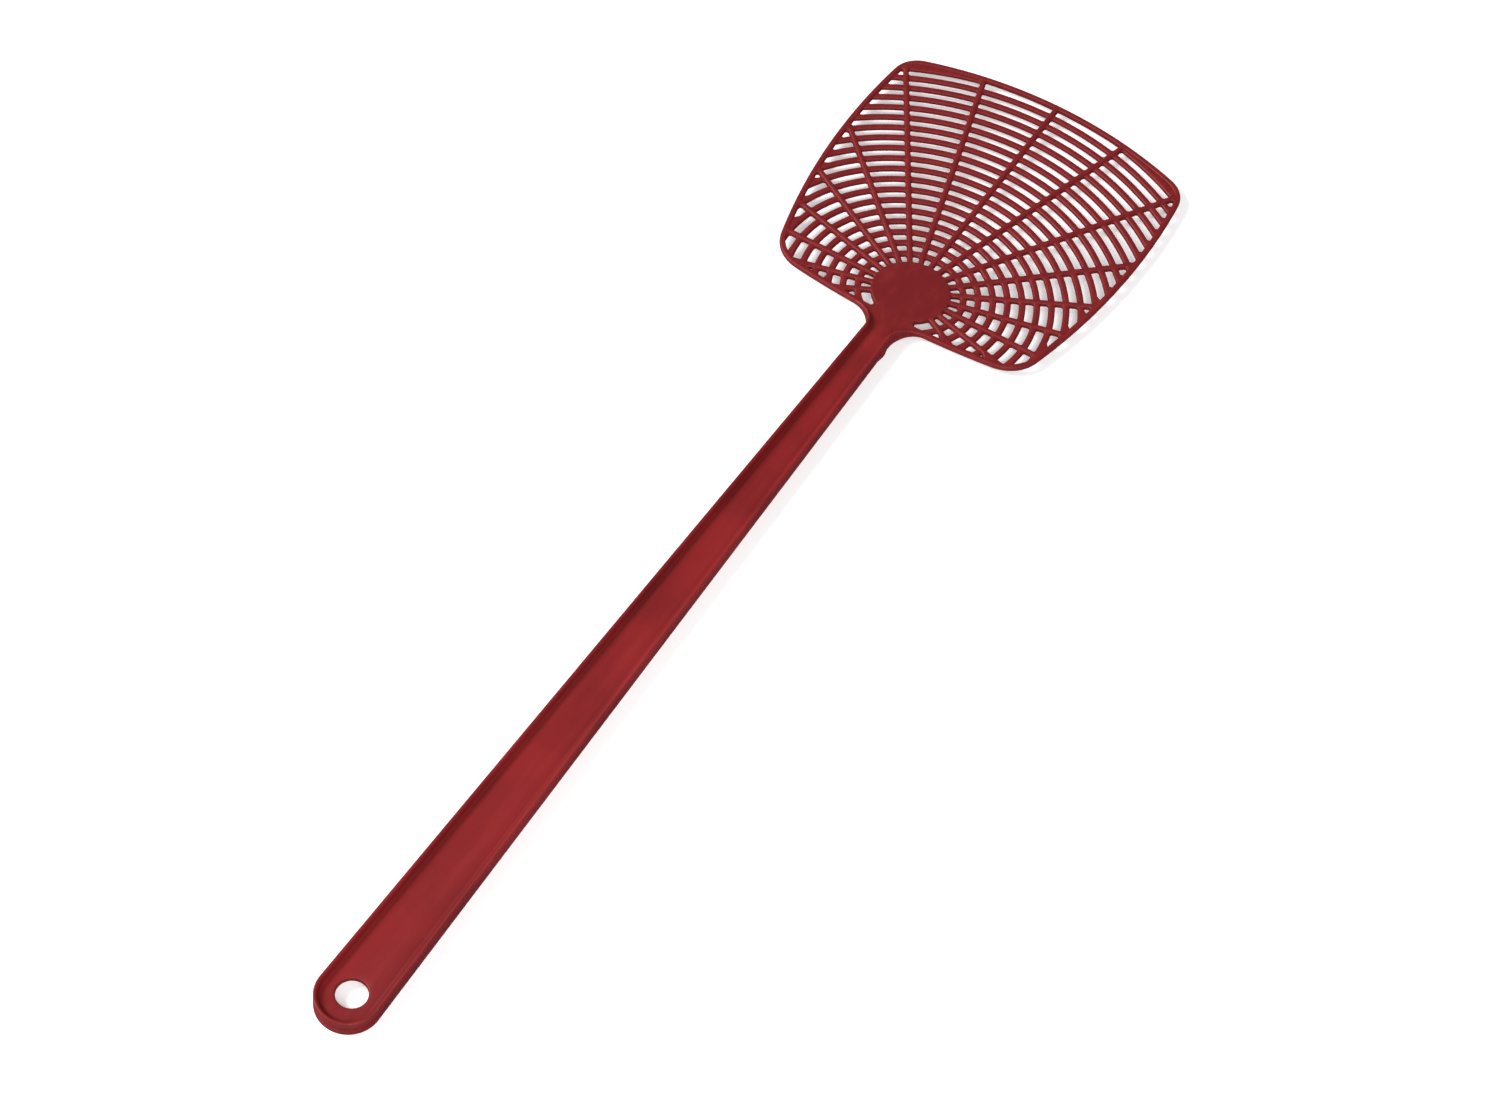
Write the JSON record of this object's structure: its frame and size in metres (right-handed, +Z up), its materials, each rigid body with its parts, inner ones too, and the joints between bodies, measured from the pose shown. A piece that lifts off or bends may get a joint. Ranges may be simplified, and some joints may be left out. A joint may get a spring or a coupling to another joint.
{
  "type": "fly swatter",
  "caption": "One-piece moulded plastic fly swatter: tapered I-section handle with a hang hole and a flat head of radial spokes and concentric rings inside a rounded rim.",
  "frame": {"origin": "on the surface the swatter lies on, under the middle of its bounding box", "axes": "+Y along the handle towards the head, +X across the head, +Z up through the flat of the head"},
  "size_m": [0.1164, 0.445, 0.006],
  "materials": {
    "red_plastic": "satin moulded, coloured right through"
  },
  "bodies": {
    "root": {"handle_web": "red_plastic", "upper_lip_left": "red_plastic", "upper_lip_right": "red_plastic", "upper_lip_end": "red_plastic", "lower_lip_left": "red_plastic", "lower_lip_right": "red_plastic", "lower_lip_end": "red_plastic", "neck_plate": "red_plastic", "neck_rib_upper_left": "red_plastic", "neck_rib_upper_right": "red_plastic", "neck_rib_lower_left": "red_plastic", "neck_rib_lower_right": "red_plastic", "hub_disc": "red_plastic", "head_rim": "red_plastic", "spoke_01": "red_plastic", "spoke_02": "red_plastic", "spoke_03": "red_plastic", "spoke_04": "red_plastic", "spoke_05": "red_plastic", "spoke_06": "red_plastic", "spoke_07": "red_plastic", "spoke_08": "red_plastic", "spoke_09": "red_plastic", "spoke_10": "red_plastic", "spoke_11": "red_plastic", "spoke_12": "red_plastic", "spoke_13": "red_plastic", "spoke_14": "red_plastic", "spoke_15": "red_plastic", "spoke_16": "red_plastic", "spoke_17": "red_plastic", "ring_01": "red_plastic", "ring_02": "red_plastic", "ring_03": "red_plastic", "ring_04": "red_plastic", "ring_05": "red_plastic", "ring_06": "red_plastic", "ring_07": "red_plastic", "ring_08": "red_plastic", "ring_09": "red_plastic", "ring_10": "red_plastic", "ring_11": "red_plastic", "ring_12": "red_plastic", "ring_13": "red_plastic", "ring_14": "red_plastic", "ring_15": "red_plastic", "ring_16": "red_plastic", "ring_17": "red_plastic", "ring_18": "red_plastic", "corner_ring": "red_plastic"}
  },
  "joints": []
}
